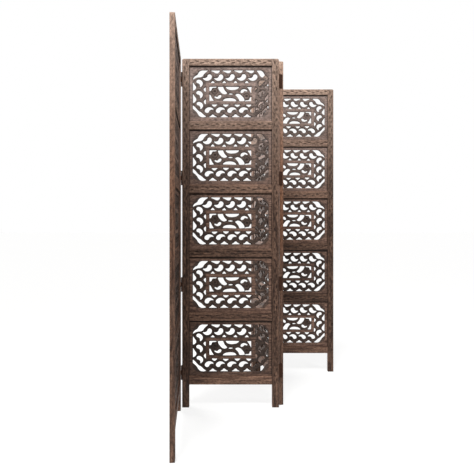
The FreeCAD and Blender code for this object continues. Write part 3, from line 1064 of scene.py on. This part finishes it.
def screw_mesh():
    """A countersunk wood screw along negative z, head flush at z zero, with a slot."""
    bm = bmesh.new()
    turn_on_lathe(bm, SCREW_PROFILE, 20, False)
    slot = bmesh.new()
    add_box(slot, (-4, -0.4, -0.7), (4, 0.4, 0.5))
    mesh = cut(mesh_from(bm), slot)
    smooth_shaded(mesh, 30)
    return mesh


def pin_mesh():
    """The pin of a hinge, with a rounded end above and below."""
    half = LEAF_LENGTH / 2 + PIN_PROUD
    profile = [(0.0, half), (PIN_RADIUS * 0.7, half - 0.1), (PIN_RADIUS, half - 0.7)]
    profile += [(radius, -z) for radius, z in reversed(profile)]
    bm = bmesh.new()
    turn_on_lathe(bm, profile, 24, False)
    mesh = mesh_from(bm)
    smooth_shaded(mesh, 30)
    return mesh


def joined(placed):
    """One mesh from copies of meshes, each in its own place, with its faces outwards."""
    bm = bmesh.new()
    for mesh, matrix in placed:
        copy = mesh.copy()
        copy.transform(matrix)
        bm.from_mesh(copy)
        bpy.data.meshes.remove(copy)
    bmesh.ops.recalc_face_normals(bm, faces=bm.faces)
    return mesh_from(bm)


class SCREEN_OT_fit_hinges(bpy.types.Operator):
    """Fit the butt hinges: leaves, their screws and the pins"""

    bl_idname = "screen.fit_hinges"
    bl_label = "Fit hinges"

    def execute(self, context):
        colours = context.scene.finish_colours
        metal = material_named("Copper plated steel, hinges", plated_steel, colours)
        leaves = {True: leaf_mesh((0, 2)), False: leaf_mesh((1,))}
        screw, pin = screw_mesh(), pin_mesh()
        places = panel_placements()
        head = EDGE_GAP / 2 - LEAF_THICKNESS + 0.02
        pins = {}
        for panel, edge, at_back, holds_pin in LEAVES:
            # leaves are drawn for the front of a left edge
            at_right = edge == "right"
            turn = Matrix.Diagonal((-1 if at_right else 1, -1 if at_back else 1, 1, 1))
            axis = fold_axis(at_right, at_back)
            stands = [
                axis @ Matrix.Translation((0, 0, share * PANEL_HEIGHT))
                for share in HINGE_HEIGHT_SHARES]
            seats = [
                Matrix.Translation((head, screw_y(z), z)) @ LAID.inverted()
                @ Matrix.Rotation(z + panel, 4, "Z")
                for z in SCREW_HEIGHTS]
            leaf_set = [(leaves[holds_pin], stand @ turn) for stand in stands]
            screw_set = [(screw, stand @ turn @ seat) for stand in stands for seat in seats]
            place_piece(
                f"hinge_leaves_{panel}_{edge}", joined(leaf_set), places[panel],
                panel, [f"panel_{panel}_{edge}_hinge_leaves"], metal)
            place_piece(
                f"hinge_screws_{panel}_{edge}", joined(screw_set), places[panel],
                panel, [], metal)
            if holds_pin:
                pins.setdefault(panel, []).extend((pin, stand) for stand in stands)
        for panel, pin_set in pins.items():
            place_piece(
                f"hinge_pins_{panel}", joined(pin_set), places[panel], panel,
                [f"panel_{panel}_hinge_pins"], metal)
        return {"FINISHED"}


def add_lamp(name, kind, location, target, power, **settings):
    """A soft lamp that looks at a point from a place, or from afar in that direction."""
    lamp = bpy.data.lights.new(name, kind)
    lamp.energy = power
    for setting, value in settings.items():
        setattr(lamp, setting, value)
    made = new_object(name, lamp)
    made.location = location
    made.rotation_euler = (Vector(target) - made.location).to_track_quat("-Z", "Y").to_euler()


def studio_world():
    """A white world that lights the object far less than the camera sees it shine."""
    world = bpy.data.worlds.new("Studio")
    world.use_nodes = True
    world.node_tree.nodes.clear()
    add = functools.partial(add_node, world.node_tree)
    strength = add("MapRange", (plainly_seen(add), 0, 1, 0.16, 1.0))
    sky = add("Background", {"Color": (1, 1, 1, 1), "Strength": strength})
    add("OutputWorld", {"Surface": sky}, None)
    return world


def studio_camera():
    """The camera, at the place and with the lens that the photograph gives."""
    camera = bpy.data.cameras.new("camera")
    camera.sensor_width = 36.0
    camera.lens = 32.63
    camera.shift_x = -0.001
    camera.shift_y = -0.0372
    made = new_object("camera", camera)
    made.location = (-0.15196, -2.2715, 0.9865)
    made.rotation_euler = (math.radians(90), 0, 0)
    return made


class SCREEN_OT_set_stage(bpy.types.Operator):
    """Set up the studio: floor, soft lamps, pale world and the camera"""

    bl_idname = "screen.set_stage"
    bl_label = "Set stage"

    def execute(self, context):
        scene = context.scene
        bm = bmesh.new()
        bmesh.ops.create_grid(bm, x_segments=1, y_segments=1, size=30)
        floor = new_object("studio_floor", mesh_from(bm))
        floor.data.materials.append(studio_paper(scene.finish_colours.floor))
        scene.world = studio_world()
        middle = (0, 0, 0)
        add_lamp("key", "SUN", (-0.45, -1.0, 2.3), middle, 2.7, angle=math.radians(16))
        add_lamp("side", "SUN", (0.8, -1.0, 1.9), middle, 0.5, angle=math.radians(9))
        add_lamp("top", "AREA", (-0.1, -1.6, 3.6), (-0.1, 0, 1.7), 42, size=0.8)
        add_lamp("back", "AREA", (-1.8, 1.2, 1.1), (0.15, 0.25, 0.85), 64, size=1.4)
        scene.camera = studio_camera()
        scene.view_settings.view_transform = "Standard"
        return {"FINISHED"}


class SCREEN_PT_panel(bpy.types.Panel):
    """Sidebar panel of the jali screen"""

    bl_idname = "SCREEN_PT_panel"
    bl_label = "Jali screen"
    bl_space_type = "VIEW_3D"
    bl_region_type = "UI"
    bl_category = "Jali screen"

    def draw(self, context):
        for group in (context.scene.carving_sizes, context.scene.finish_colours):
            box = self.layout.box()
            for name in group.__annotations__:
                box.prop(group, name)
        for operator in OPERATORS:
            self.layout.operator(operator.bl_idname)


OPERATORS = (
    SCREEN_OT_carve_stiles,
    SCREEN_OT_carve_rails,
    SCREEN_OT_carve_boards,
    SCREEN_OT_fit_hinges,
    SCREEN_OT_set_stage,
)
CLASSES = (CarvingSizes, FinishColours) + OPERATORS + (SCREEN_PT_panel,)


def register():
    for cls in CLASSES:
        bpy.utils.register_class(cls)
    bpy.types.Scene.carving_sizes = bpy.props.PointerProperty(type=CarvingSizes)
    bpy.types.Scene.finish_colours = bpy.props.PointerProperty(type=FinishColours)


def unregister():
    del bpy.types.Scene.finish_colours
    del bpy.types.Scene.carving_sizes
    for cls in reversed(CLASSES):
        bpy.utils.unregister_class(cls)


def main():
    register()
    bpy.ops.screen.carve_stiles()
    bpy.ops.screen.carve_rails()
    bpy.ops.screen.carve_boards()
    bpy.ops.screen.fit_hinges()
    bpy.ops.screen.set_stage()
    bpy.context.view_layer.update()


if __name__ == "__main__":
    main()
